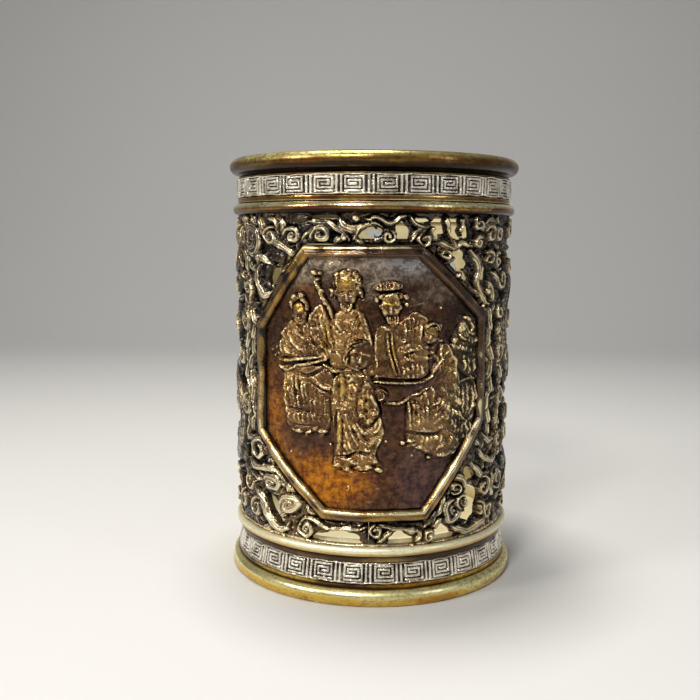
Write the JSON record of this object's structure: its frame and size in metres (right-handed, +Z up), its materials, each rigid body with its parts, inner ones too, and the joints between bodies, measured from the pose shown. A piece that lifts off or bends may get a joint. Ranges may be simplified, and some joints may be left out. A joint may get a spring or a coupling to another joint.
{
  "type": "brush pot",
  "caption": "Cylindrical bronze pot for brushes, with openwork walls, octagonal figure plaques, key-fret bands and turned rings.",
  "frame": {"origin": "middle of the foot's underside, on the surface the pot stands on", "axes": "+Z up along the pot's axis; the front plaque faces -Y and the back plaque +Y"},
  "size_m": [0.0846, 0.0846, 0.12],
  "materials": {
    "worn_brass": "worn, golden on the high edges and brown in the hollows",
    "fret_metal": "pale rubbed lines on a near-black ground",
    "dark_bronze": "dark patina with pale rubbed crests",
    "frame_metal": "golden brown, rubbed bright along the crest",
    "plaque_metal": "glossy red-brown patina",
    "pale_brass": "pale, dull, unpolished"
  },
  "bodies": {
    "root": {"foot_ring": "worn_brass", "lower_fret_collar": "fret_metal", "lower_bead": "worn_brass", "floor_plate": "pale_brass", "openwork_right": "dark_bronze", "openwork_left": "dark_bronze", "front_panel_frame": "frame_metal", "back_panel_frame": "frame_metal", "front_plaque": "plaque_metal", "back_plaque": "plaque_metal", "upper_bead": "worn_brass", "upper_fret_collar": "fret_metal", "rim_ring": "worn_brass"}
  },
  "joints": []
}
